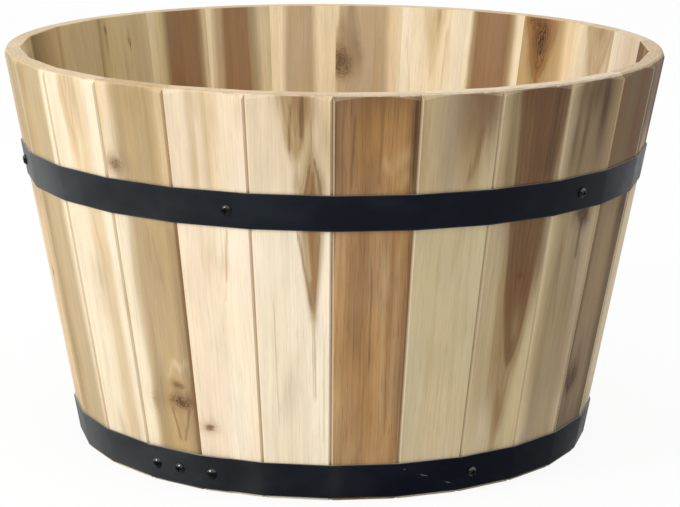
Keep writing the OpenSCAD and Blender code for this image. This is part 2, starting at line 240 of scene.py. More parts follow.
class Board(Finish):
    """Planed acacia in one board's own millimetres: x across the board, y through it, z along it."""

    def __init__(self, name, turned, number, wall, shift, sway, knots):
        super().__init__(name)
        self.turned = turned
        at = self.put("TexCoord", {}).outputs["Object"]
        own = self.put("Mapping", {"Vector": at, "Rotation": turned, "Scale": (mm, mm, mm),
                                   "Location": shift})
        self.x, self.y, self.z = self.apart(own.outputs[0])
        self.deep = self.add(self.y, self.times(self.z, tan(stave_lean))) if wall else self.y
        self.far = grain_step * number
        self.grain = self.swayed(sway)
        self.burrs = [self.knot_burr(*knot) for knot in knots]
        self.streaks = self.figure(0.2, 0.2, 0.0028, 2.0)
        self.threads = self.figure(0.8, 1.0, 0.008, 2.0)
        self.pores = self.figure(1.5, 2.0, 0.045, 1.0)
        self.patches = self.figure(0.03, 0.03, 0.009, 1.0)
        self.mottle = self.figure(0.1, 0.1, 0.02, 2.0, 0.55, 9.0)
        across = self.add(self.times(self.grain, 1 / stripe_span), 0.5)
        self.across = self.add(across, self.times(self.less(self.streaks, 0.5), 0.025))
        ragged = self.add(self.times(self.less(self.streaks, 0.5), 12.0),
                          self.times(self.less(self.threads, 0.5), 4.0))
        self.ragged_z = self.add(self.z, ragged)

    def swayed(self, sway):
        """x, bent by some millimetres as the grain wanders up the board."""
        bend = self.cloud(self.place(self.add(self.times(self.x, 0.006), self.far),
                                     self.times(self.deep, 0.02), self.times(self.z, 0.005)), 1.0, 0.45)
        ripple = self.cloud(self.place(self.times(self.x, 0.04),
                                       self.add(self.times(self.deep, 0.05), self.far),
                                       self.times(self.z, 0.014)), 1.0, 0.5)
        grain = self.add(self.x, self.times(self.less(bend, 0.5), 2.0 * sway))
        return self.add(grain, self.times(self.less(ripple, 0.5), 3.0))

    def off_centre(self, across, up, at_x, at_z, wide, tall):
        return (self.times(self.less(across, at_x), 1.0 / wide),
                self.times(self.less(up, at_z), 1.0 / tall))

    def knot_burr(self, at_x, at_z, wide, tall, dark):
        """How far off a knot is, ragged, and how near; the grain parts to go round it."""
        away_x, away_z = self.off_centre(self.x, self.z, at_x, at_z, wide, tall)
        away = self.sum("SQRT", self.add(self.squared(away_x), self.squared(away_z)))
        burr = self.cloud(self.place(self.times(self.x, 0.5 / wide), self.far + at_z,
                                     self.times(self.z, 0.9 / tall)), 3.0, 0.65)
        away = self.add(away, self.times(self.less(burr, 0.5), 1.7))
        near = self.sum("EXPONENT", self.times(self.squared(away), -0.3))
        parted = self.times(self.times(self.less(self.grain, at_x), near), 0.7)
        self.grain = self.less(self.grain, parted)
        return away, near, dark, burr

    def figure(self, across, through, along, detail, rough=0.5, aside=0.0):
        """A cloud drawn out along the grain, so many of its lumps to the millimetre each way."""
        return self.cloud(self.place(self.times(self.grain, across),
                                     self.add(self.times(self.deep, through), self.far + aside),
                                     self.times(self.z, along)), detail, rough)

    def stripes(self, tones):
        """Sapwood and heartwood side by side, each tone at its place across the board."""
        return self.ramp(self.across, [(0.5 + x / stripe_span, wood_tones[name]) for x, name in tones])[0]

    def flame(self, colour, at_x, tip, full, half, inside, edge, blunt, top):
        """A tongue of heartwood that widens up from its tip, and that a top above 0 ends in a spire."""
        along = self.put("MapRange", {"Value": self.ragged_z, "From Min": tip, "From Max": full})
        wide = self.times(self.sum("POWER", along.outputs[0], blunt), half)
        reach = self.fade(self.ragged_z, tip - 8.0, tip + 14.0)
        if top:
            spire = self.put("MapRange", {"Value": self.ragged_z, "From Min": top, "From Max": full})
            wide = self.times(wide, self.sum("POWER", spire.outputs[0], 1.5))
            reach = self.times(reach, self.fade(self.ragged_z, top, top - 20.0))
        off = self.sum("ABSOLUTE", self.less(self.grain, at_x))
        inward = self.less(wide, off)
        depth = self.add(inward, self.times(self.less(self.streaks, 0.5), self.times(wide, 0.2)))
        soft = 1.2 + 0.17 * half
        depth = self.fade(depth, -soft, 2.0 * soft)
        rind, core = wood_tones[edge][:3], wood_tones[inside][:3]
        body = self.ramp(depth, [(0.0, rind + (0.0,)), (0.3, rind + (0.5,)), (0.5, rind + (0.8,)),
                                 (0.75, core + (0.92,)), (1.0, core + (0.95,))])
        colour = self.blend(self.times(body["Alpha"], reach), colour, body["Color"])
        rings = self.fade(self.sum("SINE", self.times(inward, 1.4)), 0.1, 1.0, 0.0,
                          0.2 if inside != edge else 0.05)
        return self.blend(self.times(rings, self.times(depth, reach)), colour, wood_tones["umber"],
                          "MULTIPLY")

    def smudge(self, colour, at_x, at_z, wide, tall, mark, strength):
        """A soft patch of another tone."""
        up = self.add(self.z, self.times(self.less(self.streaks, 0.5), 40.0))
        away_x, away_z = self.off_centre(self.grain, up, at_x, at_z, wide, tall)
        near = self.sum("EXPONENT", self.times(self.add(self.squared(away_x), self.squared(away_z)), -1.0))
        return self.blend(self.times(near, strength), colour, wood_tones[mark])

    def streak(self, colour, low_x, low_z, high_x, high_z, width, mark, strength):
        """A narrow streak from one place to another, soft at both ends."""
        up = self.put("MapRange", {"Value": self.z, "From Min": low_z, "From Max": high_z}, clamp=False)
        up = up.outputs[0]
        off = self.less(self.less(self.x, low_x), self.times(up, high_x - low_x))
        off = self.add(self.sum("ABSOLUTE", off), self.times(self.less(self.threads, 0.5), 1.5 * width))
        shown = self.times(self.fade(off, width, 0.15 * width), self.fade(up, -0.06, 0.1))
        shown = self.times(shown, self.fade(up, 1.06, 0.9, 0.0, strength))
        return self.blend(shown, colour, wood_tones[mark])

    def knot(self, colour, away, near, dark, burr):
        """A knot's warm halo and its swirled dark heart."""
        colour = self.blend(self.times(near, 0.55 * dark), colour, wood_tones["ember"], "MULTIPLY")
        swirl = self.sum("SINE", self.add(self.times(away, 15.0), self.times(burr, 22.0)))
        heart = self.blend(self.fade(swirl, -0.7, 0.9), wood_tones["dark"], wood_tones["umber"])
        heart = self.blend(self.fade(away, 0.75, 0.1, 0.0, 0.4), heart, wood_tones["bark"])
        return self.blend(self.times(self.fade(away, 1.3, 0.4), dark), colour, heart)

    def fibres(self, colour, bold):
        """The light and dark of the fibres, the fine threads and the pores."""
        light = self.times(self.fade(self.streaks, 0.3, 0.7, 1.0 - 0.03 * bold, 1.0 + 0.022 * bold),
                           self.fade(self.mottle, 0.3, 0.7, 1.0 - 0.045 * bold, 1.0 + 0.035 * bold))
        colour = self.put("HueSaturation", {
            "Color": colour, "Saturation": self.fade(self.patches, 0.3, 0.7, 1.06, 0.95), "Value": light
        }).outputs[0]
        threads = self.fade(self.threads, 0.6, 0.35, 0.0, 0.08 * bold)
        colour = self.blend(threads, colour, wood_tones["umber"], "MULTIPLY")
        pores = self.fade(self.pores, 0.58, 0.74, 0.0, 0.16 * bold)
        return self.blend(pores, colour, wood_tones["walnut"], "MULTIPLY")

    def cut_faces(self, colour, end_tones):
        """Painted light on the bevels, a painted highlight on those that face left and painted shade on
        those that face right; sawn end grain; and painted shade along the joints.
        """
        facing = self.put("NewGeometry", {}).outputs["Normal"]
        local = self.put("Mapping", {"Vector": facing, "Rotation": self.turned}, vector_type="VECTOR")
        right, back, up = self.apart(local.outputs[0])
        # Painted highlight on bevels that face left, towards the lamp, and painted shade on bevels that
        # face right.
        colour = self.blend(self.fade(right, -0.25, -0.6, 0.0, 0.38), colour, wood_tones["cream"])
        colour = self.blend(self.fade(right, 0.25, 0.6, 0.0, 0.35), colour, wood_tones["olive"])
        rays = self.cloud(self.place(self.times(self.x, 0.07), self.times(self.y, 0.9), self.far), 3.0, 0.6)
        rays = self.blend(self.fade(rays, 0.35, 0.65), *[wood_tones[name] for name in end_tones])
        colour = self.blend(self.fade(up, 0.2, 0.75, 0.0, 0.8), colour, rays)
        arris = self.sum("POWER", self.times(self.less(up, 0.84), 9.0), 2.0)
        arris = self.sum("EXPONENT", self.times(arris, -1.0))
        arris = self.times(arris, self.fade(self.threads, 0.3, 0.6, 0.15, 0.5))
        colour = self.blend(arris, colour, wood_tones["ember"])
        # Painted shade: the outer face darkens within about a millimetre of each joint, where the V-groove
        # lies in shade.
        joint_shade = self.less(self.times(self.y, -tan(stave_turn / 2)), self.sum("ABSOLUTE", self.x))
        joint_shade = self.times(self.fade(joint_shade, 1.1, 0.2, 0.0, 0.32), self.fade(back, -0.3, -0.6))
        return self.blend(self.times(joint_shade, self.fade(up, 0.3, 0.0)), colour, wood_tones["umber"])


def board_wood(name, turned, number, rim, foot=None, sway=2.0, flames=(), knots=(), smudges=(),
               lines=(), bold=1.0, wall=False, ends=("sawn", "bone"), shift=(0.0, 0.0, 0.0)):
    """One board's wood, in millimetres. rim, foot: the stripes at its two ends, (x, tone);
    sway: how far its grain wanders; flames, the heartwood's tongues:
    (x, tip z, full z, half width, tone, edge tone, bluntness, z where it ends or 0);
    knots: (x, z, half width, half height, darkness); smudges: (x, z, half width, half height,
    tone, strength); lines: (x low, z low, x high, z high, width, tone, strength);
    bold: how strongly its fibres show; wall: whether it is a stave, with bevels and sawn ends;
    ends: the two tones of those ends; shift: where the board lies on its own grain."""
    board = Board(name, turned, number, wall, shift, sway, knots)
    colour = board.stripes(rim)
    # Low down each board turns to its foot stripes. On the staves right of the front these are far paler
    # than the rim stripes: partly the wood, and partly painted light for the brighter glow low on that
    # side.
    if foot:
        low_down = board.fade(board.z, foot_stripes_end, rim_stripes_start)
        colour = board.blend(low_down, board.stripes(foot), colour)
    for flame in flames:
        colour = board.flame(colour, *flame)
    for smudge in smudges:
        colour = board.smudge(colour, *smudge)
    for line in lines:
        colour = board.streak(colour, *line)
    for burr in board.burrs:
        colour = board.knot(colour, *burr)
    colour = board.fibres(colour, bold)
    if wall:
        colour = board.cut_faces(colour, ends)
    rough = board.add(board.times(board.threads, thread_rough), board_rough)
    dents = board.add(board.times(board.threads, 0.5), board.times(board.pores, -0.5))
    board.wear_on(colour, rough, dents, board_dent)
    board.shader.inputs["Specular IOR Level"].default_value = board_shine
    return board.material


def dress(piece, material):
    """Put a finish on a piece in place of its plain colour."""
    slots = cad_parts[piece].data.materials
    slots.clear()
    slots.append(material)


# Each stave's grain, from the far joint round by the left to the front and on by the right.
grain = {
    -13: dict(
        rim=[(-33, "butter"), (-14, "butter"), (-8, "oat"), (14, "oat"), (20, "butter"),
             (33, "butter")]),
    -12: dict(
        rim=[(-33, "hay"), (-22, "sand"), (-16, "khaki"), (-11, "drab"), (-8, "mocha"), (14, "mocha"),
             (18, "oat"), (22, "oat"), (28, "butter"), (33, "butter")]),
    -11: dict(
        rim=[(-33, "sand"), (-28, "sand"), (-24, "drab"), (-20, "mocha"), (-2, "mocha"), (10, "mocha"),
             (14, "drab"), (19, "hay"), (33, "butter")],
        # The umber patch low on this inner face is painted shadow of the rim.
        smudges=[(-4, 262, 18, 12, "umber", 0.6)]),
    -10: dict(
        rim=[(-33, "hay"), (-15, "wheat"), (12, "hay"), (24, "wheat"), (29, "drab"), (33, "hay")],
        smudges=[(-7, 316, 1.6, 3.5, "walnut", 0.9), (22, 320, 1.5, 4.0, "walnut", 0.9),
                 (-7, 322, 1.2, 8, "olive", 0.5), (22, 308, 1.5, 10, "olive", 0.5),
                 (-24, 300, 3, 40, "khaki", 0.4), (1, 290, 2, 40, "khaki", 0.4)]),
    -9: dict(
        rim=[(-33, "wheat"), (0, "wheat"), (24, "wheat"), (30, "fawn"), (33, "wheat")]),
    -8: dict(
        rim=[(-33, "wheat"), (-10, "fawn"), (18, "olive"), (28, "moss"), (33, "fawn")]),
    -7: dict(
        rim=[(-33, "honey"), (-12, "fawn"), (10, "sand"), (33, "sand")],
        flames=[(-8, 60, 300, 18, "mocha", "honey", 0.5, 0)],
        smudges=[(-2, 328, 30, 12, "hay", 0.8), (11, 326, 10, 12, "butter", 0.6)]),
    -6: dict(
        rim=[(-33, "oat"), (-16, "khaki"), (0, "drab"), (16, "drab"), (33, "khaki")],
        foot=[(-33, "linen"), (-5, "biscuit"), (10, "biscuit"), (33, "straw")],
        knots=[(8, 150, 4, 4, 0.7)],
        smudges=[(0, 222, 40, 26, "drab", 0.5), (8, 34, 30, 18, "khaki", 0.5)]),
    -5: dict(
        rim=[(-33, "biscuit"), (-28, "khaki"), (-23, "drab"), (-15, "fawn"), (0, "khaki"),
             (20, "khaki"), (26, "linen"), (33, "linen")],
        foot=[(-33, "bone"), (-27, "oat"), (-22, "drab"), (-15, "fawn"), (0, "khaki"), (17, "khaki"),
              (24, "bone"), (33, "linen")],
        smudges=[(-19, 324, 5, 12, "olive", 0.7), (-19, 36, 6, 14, "olive", 0.8),
                 (-19, 218, 4, 16, "olive", 0.9), (-18, 90, 5, 66, "olive", 0.6),
                 (6, 150, 6, 90, "fawn", 0.3), (-6, 34, 24, 22, "fawn", 0.6)],
        lines=[(12, 60, 12, 225, 3.0, "drab", 0.35), (-20, 40, -20, 225, 2.5, "olive", 0.35)]),
    -4: dict(
        rim=[(-33, "linen"), (-14, "linen"), (5, "straw"), (13, "straw"), (18, "linen"), (24, "linen"),
             (33, "linen")],
        foot=[(-33, "linen"), (-6, "linen"), (6, "straw"), (15, "straw"), (20, "linen"), (33, "linen")],
        flames=[(-4, 250, 345, 12, "biscuit", "straw", 0.7, 0)],
        smudges=[(-24, 300, 16, 60, "bone", 0.35), (5, 318, 3.5, 16, "drab", 0.5),
                 (-9, 300, 2.5, 30, "oat", 0.6), (8, 300, 3, 40, "oat", 0.5),
                 (-13, 324, 3, 12, "oat", 0.5), (-2, 172, 3.5, 16, "drab", 0.7),
                 (-9, 172, 3, 14, "oat", 0.5), (6, 165, 4, 22, "oat", 0.5),
                 (-3, 145, 4, 12, "oat", 0.5), (-7, 150, 7, 30, "bone", 0.7),
                 (11, 110, 6, 80, "oat", 0.6), (14, 38, 6, 24, "oat", 0.6),
                 (28, 150, 3, 20, "khaki", 0.4), (-14, 90, 3, 40, "straw", 0.4),
                 (-5, 38, 5, 14, "oat", 0.7), (1, 192, 5, 34, "oat", 0.5),
                 (17, 300, 5, 26, "oat", 0.5)],
        lines=[(12, 172, 0, 228, 3.0, "oat", 0.6), (-24, 40, -20, 200, 1.5, "straw", 0.4),
               (16, 90, 14, 190, 2.0, "oat", 0.3)]),
    -3: dict(
        rim=[(-33, "straw"), (-25, "bone"), (-19, "khaki"), (-14, "drab"), (0, "drab"), (20, "drab"),
             (26, "oat"), (33, "oat")],
        foot=[(-33, "linen"), (-16, "linen"), (-12, "oat"), (-8, "drab"), (6, "fawn"), (16, "fawn"),
              (24, "olive"), (33, "olive")],
        knots=[(-21, 269, 7, 5, 0.6), (13, 89, 7, 3.2, 0.6), (15, 74, 11, 4.6, 0.9)],
        smudges=[(19, 75, 10, 7, "walnut", 0.6), (14, 102, 9, 4, "bone", 0.5),
                 (4, 300, 3, 40, "olive", 0.5), (-12, 300, 3, 30, "olive", 0.5),
                 (-3, 84, 5, 22, "olive", 0.5), (14, 50, 9, 16, "olive", 0.6),
                 (-5, 50, 4, 34, "olive", 0.5), (-20, 269, 9, 9, "olive", 0.5),
                 (16, 290, 4, 30, "olive", 0.3), (4, 210, 3, 20, "olive", 0.4),
                 (4, 190, 18, 60, "drab", 0.7), (4, 190, 14, 50, "olive", 0.3),
                 (8, 328, 16, 9, "olive", 0.4), (-15, 172, 4, 60, "drab", 0.7)],
        lines=[(25.6, 30, 30.2, 228, 2.6, "umber", 0.9), (27.0, 30, 31.4, 228, 2.2, "walnut", 1.0),
               (9, 40, 4, 70, 2.0, "walnut", 0.55), (13, 40, 22, 70, 2.0, "walnut", 0.55),
               (1, 190, 2, 222, 1.8, "olive", 0.7), (10, 175, 6, 215, 1.8, "olive", 0.6),
               (-4, 60, -6, 150, 1.5, "olive", 0.4), (20, 100, 21, 225, 1.5, "olive", 0.4)],
        ends=("fawn", "oat")),
    -2: dict(
        rim=[(-33, "bone"), (-16, "bone"), (-11, "oat"), (-6, "bone"), (0, "oat"), (6, "straw"),
             (11, "bone"), (33, "blush")],
        foot=[(-33, "blush"), (-4, "blush"), (8, "ivory"), (33, "blush")],
        knots=[(-17, 56, 4.2, 2.9, 0.8)],
        smudges=[(-5, 205, 8, 18, "oat", 0.5), (-17, 56, 5, 5, "oat", 0.4),
                 (5, 165, 10, 60, "bone", 0.5), (-7, 326, 4, 14, "oat", 0.7),
                 (7, 322, 4, 14, "oat", 0.6), (28, 322, 4, 14, "oat", 0.5),
                 (9, 200, 5, 12, "oat", 0.5)],
        lines=[(8, 183, 11.5, 227, 1.8, "rust", 0.6), (6, 166, 8, 186, 1.8, "rust", 0.25)]),
    -1: dict(
        rim=[(-33, "bone"), (-10, "bone"), (20, "bone"), (33, "straw")],
        foot=[(-33, "ivory"), (-10, "linen"), (20, "ivory"), (33, "ivory")],
        flames=[(5, 274, 338, 16, "drab", "khaki", 0.6, 0),
                (15.5, 142, 262, 13, "drab", "khaki", 0.75, 326),
                (16, 152, 250, 8.0, "umber", "olive", 0.75, 302)],
        smudges=[(-3, 92, 6, 22, "drab", 0.35), (27, 300, 8, 26, "drab", 0.6),
                 (4, 266, 3, 12, "olive", 0.5), (24, 266, 3, 10, "olive", 0.6),
                 (-1, 300, 3, 10, "olive", 0.6), (5, 330, 14, 14, "olive", 0.5),
                 (17, 322, 5, 14, "olive", 0.5), (10, 329, 6, 15, "walnut", 0.7)],
        lines=[(-13, 60, -15, 170, 0.9, "drab", 0.4), (22, 50, 24, 140, 0.9, "drab", 0.35),
               (16, 86, 16, 150, 2.4, "drab", 0.5), (11, 256, 16, 282, 1.8, "walnut", 0.8),
               (24, 256, 19, 286, 1.8, "walnut", 0.7), (17, 280, 17, 318, 1.6, "olive", 0.8),
               (17, 256, 17.5, 276, 2.2, "wine", 0.5), (15, 162, 5, 228, 1.8, "walnut", 0.6),
               (17, 168, 22, 228, 1.6, "walnut", 0.5), (17, 120, 19, 160, 2.0, "olive", 0.2),
               (14, 186, 11.5, 228, 1.8, "khaki", 0.6), (8, 292, 9, 340, 6.0, "umber", 0.4),
               (9.5, 300, 10.5, 340, 2.4, "dark", 0.5), (0, 290, 2, 330, 2.0, "walnut", 0.6)]),
    0: dict(
        rim=[(-33, "wine"), (-28, "umber"), (-20, "ember"), (-6, "umber"), (8, "ember"), (22, "ember"),
             (28, "walnut"), (33, "dark")],
        foot=[(-33, "ember"), (-27, "rust"), (-18, "ember"), (-8, "umber"), (4, "rust"), (14, "ember"),
              (22, "ember"), (33, "umber")],
        smudges=[(2, 340, 40, 20, "walnut", 0.9), (-24, 300, 7, 34, "walnut", 0.35),
                 (21, 285, 8, 9, "honey", 0.6), (9, 277, 6, 7, "honey", 0.45),
                 (24, 268, 8, 7, "honey", 0.5), (-8, 250, 6, 30, "wine", 0.25),
                 (2, 296, 12, 8, "ember", 0.5), (16, 225, 7, 14, "umber", 0.3),
                 (-6, 90, 10, 40, "rust", 0.6), (-12, 44, 18, 20, "honey", 0.4),
                 (-24, 92, 6, 46, "honey", 0.5), (11, 195, 4, 30, "honey", 0.3),
                 (10, 50, 12, 25, "rust", 0.5), (-16, 200, 4, 50, "umber", 0.5)],
        lines=[(29, 262, 30, 338, 3.0, "dark", 0.7), (28, 60, 30, 228, 2.5, "wine", 0.6),
               (11, 60, 10, 215, 3.5, "fawn", 0.5), (18, 60, 21, 225, 3.0, "drab", 0.45),
               (14.5, 60, 15.5, 225, 1.4, "umber", 0.5), (-21, 60, -22, 225, 2.0, "rust", 0.5),
               (-28.5, 30, -31.5, 336, 1.8, "wine", 0.85), (24, 40, 26, 190, 1.5, "walnut", 0.5),
               (1, 120, 0, 200, 1.2, "walnut", 0.45), (-13, 150, -12, 225, 1.2, "walnut", 0.4),
               (-4, 40, -3, 110, 1.2, "walnut", 0.4), (-18, 262, -16, 320, 1.5, "wine", 0.4),
               (3, 262, 5, 330, 1.5, "wine", 0.35)],
        bold=2.2,
        ends=("bone", "linen")),
    1: dict(
        rim=[(-33, "drab"), (-24, "khaki"), (-8, "stone"), (18, "khaki"), (33, "green")],
        foot=[(-33, "green"), (-14, "green"), (2, "green"), (33, "green")],
        smudges=[(17, 338, 20, 28, "walnut", 0.9), (12, 306, 15, 28, "walnut", 0.75),
                 (17, 334, 12, 16, "wine", 0.4), (26, 318, 7, 24, "walnut", 0.5),
                 (20, 322, 6, 12, "walnut", 0.5), (12, 274, 7, 24, "olive", 0.5),
                 (-3, 60, 12, 40, "straw", 0.5), (13, 60, 12, 46, "straw", 0.5),
                 (8, 34, 34, 16, "bone", 0.5), (6, 206, 4, 20, "drab", 0.5)],
        lines=[(11, 262, 27, 344, 4.5, "walnut", 0.5), (-9, 80, -8, 220, 2.0, "khaki", 0.4),
               (20, 120, 18, 222, 2.0, "khaki", 0.35), (4, 50, 6, 160, 1.5, "khaki", 0.3)],
        ends=("bone", "ivory")),
    # Staves 2 to 6: their foot stripes are partly painted light, paler than the wood for the brighter glow
    # low down.
    2: dict(
        rim=[(-33, "khaki"), (-27, "drab"), (-18, "peat"), (33, "peat")],
        foot=[(-33, "khaki"), (-20, "khaki"), (18, "green"), (33, "green")],
        flames=[(5, 40, 300, 24, "olive", "drab", 0.5, 0), (7, 98, 350, 30, "cocoa", "olive", 0.42, 0)],
        knots=[(7, 181, 1.4, 1.4, 0.8)],
        smudges=[(4, 68, 6, 14, "umber", 0.5), (-24, 45, 12, 30, "green", 0.8),
                 (-12, 43, 8, 26, "bone", 0.6), (20, 60, 8, 40, "straw", 0.5),
                 (8, 225, 14, 50, "wine", 0.4), (4, 332, 30, 14, "dark", 0.35),
                 (-6, 110, 5, 36, "umber", 0.5), (9, 140, 5, 18, "olive", 0.5),
                 (25, 190, 5, 34, "peat", 0.5)],
        lines=[(3, 20, 3, 80, 4.5, "umber", 0.5), (-9, 75, -12, 180, 2.0, "umber", 0.35),
               (10, 262, 10, 345, 16.0, "wine", 0.8), (20, 262, 22, 345, 7.0, "dark", 0.5)],
        ends=("bone", "ivory")),
    3: dict(
        rim=[(-33, "khaki"), (-27, "stone"), (-18, "moss"), (0, "moss"), (24, "moss"), (33, "olive")],
        foot=[(-33, "green"), (-24, "khaki"), (-15, "ash"), (14, "ash"), (22, "stone"), (33, "khaki")],
        knots=[(10, 226, 5, 6, 0.5)],
        smudges=[(15, 314, 6, 34, "dark", 0.9), (-6, 294, 3, 34, "dark", 0.6),
                 (-18, 290, 3, 26, "dark", 0.5), (3, 320, 4, 20, "dark", 0.4),
                 (0, 326, 24, 16, "dark", 0.5), (10, 224, 10, 10, "dark", 0.8),
                 (11, 222, 4, 8, "bark", 0.8), (-10, 185, 3.5, 40, "moss", 0.6),
                 (8, 170, 5, 50, "moss", 0.5), (0, 60, 16, 50, "stone", 0.5),
                 (4, 40, 14, 24, "khaki", 0.5), (-26, 50, 9, 24, "bone", 0.6),
                 (25, 44, 7, 22, "bone", 0.6), (14, 130, 4, 50, "olive", 0.4),
                 (-12, 110, 3, 50, "olive", 0.4)],
        lines=[(11, 185, 10, 228, 3.0, "dark", 0.6), (-4, 130, -12, 205, 1.6, "moss", 0.6),
               (18, 140, 14, 200, 1.6, "moss", 0.5), (31, 55, 32, 115, 4.0, "dark", 0.6)],
        ends=("bone", "ivory")),
    4: dict(
        rim=[(-33, "cocoa"), (-10, "peat"), (4, "peat"), (12, "wine"), (33, "peat")],
        foot=[(-33, "umber"), (-26, "peat"), (-20, "moss"), (10, "moss"), (22, "peat"), (33, "peat")],
        knots=[(-13, 76, 7, 9, 0.35)],
        smudges=[(-14, 77, 13, 14, "dark", 0.75), (-28, 75, 4, 50, "dark", 0.7),
                 (24, 216, 10, 15, "dark", 0.9), (20, 190, 4, 26, "dark", 0.4),
                 (0, 160, 10, 60, "olive", 0.4), (-14, 48, 4, 18, "dark", 0.4),
                 (0, 34, 40, 18, "dark", 0.4), (-14, 73, 5, 9, "bark", 0.95),
                 (-7, 96, 7, 17, "walnut", 0.7)]),
    5: dict(
        rim=[(-33, "dark"), (-24, "wine"), (-8, "peat"), (6, "peat"), (18, "wine"), (33, "dark")],
        foot=[(-33, "ash"), (-22, "stone"), (-14, "green"), (33, "bone")],
        smudges=[(-24, 304, 9, 40, "dark", 0.6), (29, 306, 7, 40, "bark", 0.5),
                 (0, 266, 15, 16, "khaki", 0.6), (-10, 36, 20, 16, "walnut", 0.5),
                 (-26, 212, 6, 14, "dark", 0.5)]),
    6: dict(
        rim=[(-33, "walnut"), (-6, "olive"), (0, "walnut"), (33, "walnut")],
        foot=[(-33, "green"), (0, "green"), (8, "olive"), (33, "umber")],
        smudges=[(22, 196, 14, 10, "dark", 0.6)]),
    7: dict(
        rim=[(-33, "blush"), (-13, "bone"), (10, "blush"), (26, "ivory"), (33, "ivory")],
        smudges=[(-5, 140, 6, 60, "honey", 0.4), (-5, 292, 11, 9, "sawn", 0.75),
                 (24, 294, 6, 16, "butter", 0.8)]),
    8: dict(
        rim=[(-33, "oat"), (-22, "bone"), (0, "bone"), (9, "cream"), (33, "butter")],
        flames=[(-9, 276, 345, 24, "oat", "drab", 0.8, 0)],
        smudges=[(4, 316, 6, 26, "oat", 0.7), (-11, 334, 8, 10, "olive", 0.6),
                 (-12, 285, 5, 12, "oat", 0.6)]),
    9: dict(
        rim=[(-33, "peach"), (-25, "peach"), (-16, "honey"), (-4, "honey"), (4, "fawn"), (23, "honey"),
             (29, "honey"), (33, "fawn")],
        foot=[(-33, "peach"), (-20, "peach"), (0, "honey"), (22, "honey"), (33, "peach")],
        flames=[(8, 268, 345, 24, "rust", "fawn", 0.6, 0)],
        knots=[(7, 312, 6, 20, 0.9), (17, 331, 8, 7, 0.6)],
        smudges=[(9, 316, 10, 22, "cocoa", 0.75), (8, 290, 4, 14, "umber", 0.5),
                 (-6, 328, 5, 10, "mocha", 0.7)],
        lines=[(8, 262, 7, 296, 2.0, "umber", 0.6)]),
    10: dict(
        rim=[(-33, "pale"), (-26, "butter"), (-20, "drab"), (-14, "umber"), (-9, "mocha"),
             (10, "mocha"), (18, "umber"), (22, "drab"), (26, "butter"), (33, "pale")]),
    11: dict(
        rim=[(-33, "pale"), (-10, "butter"), (8, "butter"), (33, "pale")],
        flames=[(-1, 266, 345, 13, "sand", "sand", 0.9, 0)],
        smudges=[(-5, 326, 2.5, 14, "olive", 0.6), (2, 322, 6, 14, "wheat", 0.5)],
        lines=[(19, 255, 26, 310, 1.8, "straw", 0.5), (-11, 258, -15, 320, 1.8, "straw", 0.5)]),
    12: dict(
        rim=[(-33, "butter"), (-22, "peach"), (-16, "oat"), (-6, "sawn"), (6, "oat"), (14, "oat"),
             (26, "biscuit"), (30, "butter"), (33, "pale")],
        knots=[(24, 284, 10, 16, 0.65)],
        smudges=[(17, 325, 4, 24, "moss", 0.5), (23, 284, 13, 22, "olive", 0.55),
                 (-8, 260, 5, 40, "rust", 0.35), (14, 292, 5, 12, "moss", 0.4),
                 (24, 316, 3, 14, "moss", 0.4)]),
}
for place, marks in grain.items():
    stave = "stave_%d" % (place % stave_count + 1)
    facing_out = (0.0, 0.0, -(place + 0.5) * stave_turn)
    dress(stave, board_wood("acacia_" + stave, facing_out, place + 14, wall=True, **marks))

# Floor: six acacia boards side by side, tongued and grooved into each other, let into the groove
# round the staves. They are the duller, browner boards of the batch, because soil covers them.
board_lies = (radians(90), 0.0, 0.0)
grain_start = 170.0
floor_stripes = [
    [(-33, "honey"), (-8, "straw"), (14, "honey"), (33, "ember")],
    [(-33, "olive"), (-4, "honey"), (10, "green"), (33, "straw")],
    [(-33, "ember"), (-12, "umber"), (6, "ember"), (33, "honey")],
    [(-33, "straw"), (0, "honey"), (20, "olive"), (33, "honey")],
    [(-33, "honey"), (-14, "ember"), (14, "honey"), (33, "straw")],
    [(-33, "olive"), (8, "ember"), (33, "honey")],
]
floor_knots = {3: [(-9, 230, 5, 4, 0.8)]}
for number, stripes in enumerate(floor_stripes, 1):
    plank = "floor_board_%d" % number
    low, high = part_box(plank)
    middle = (low[0] + high[0]) / 2 * mm
    dress(plank, board_wood("acacia_floor_%d" % number, board_lies, 59 + number, stripes,
                            knots=floor_knots.get(number, ()), shift=(-middle, 0.0, grain_start)))

# Battens: two acacia bars across the underside of the floor, screwed up into every board, with
# their grain along their length.
batten_lies = tuple(Matrix(((0, 1, 0), (0, 0, 1), (1, 0, 0))).to_euler())
batten_stripes = [(-33, "honey"), (-10, "ember"), (4, "honey"), (33, "straw")]
for number, batten in enumerate(("batten_front", "batten_rear"), 80):
    low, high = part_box(batten)
    middle = (low[1] + high[1]) / 2 * mm
    dress(batten, board_wood("acacia_" + batten, batten_lies, number, batten_stripes,
                             shift=(-middle, 0.0, grain_start)))

# Hoops: two flat steel strips sprayed satin black before they were bent round the staves, so the
# paint is rubbed thin at the strip's edges and dusty in places, with a few chips at the foot. A grey
# sheen is painted on where each strip turns to the sides, and a painted highlight along its top edge.
hoop_black = (0.0048, 0.0066, 0.0112, 1.0)
hoop_dent = 0.0004
hoop_rubbed = 0.0011
chip_radius = 0.219


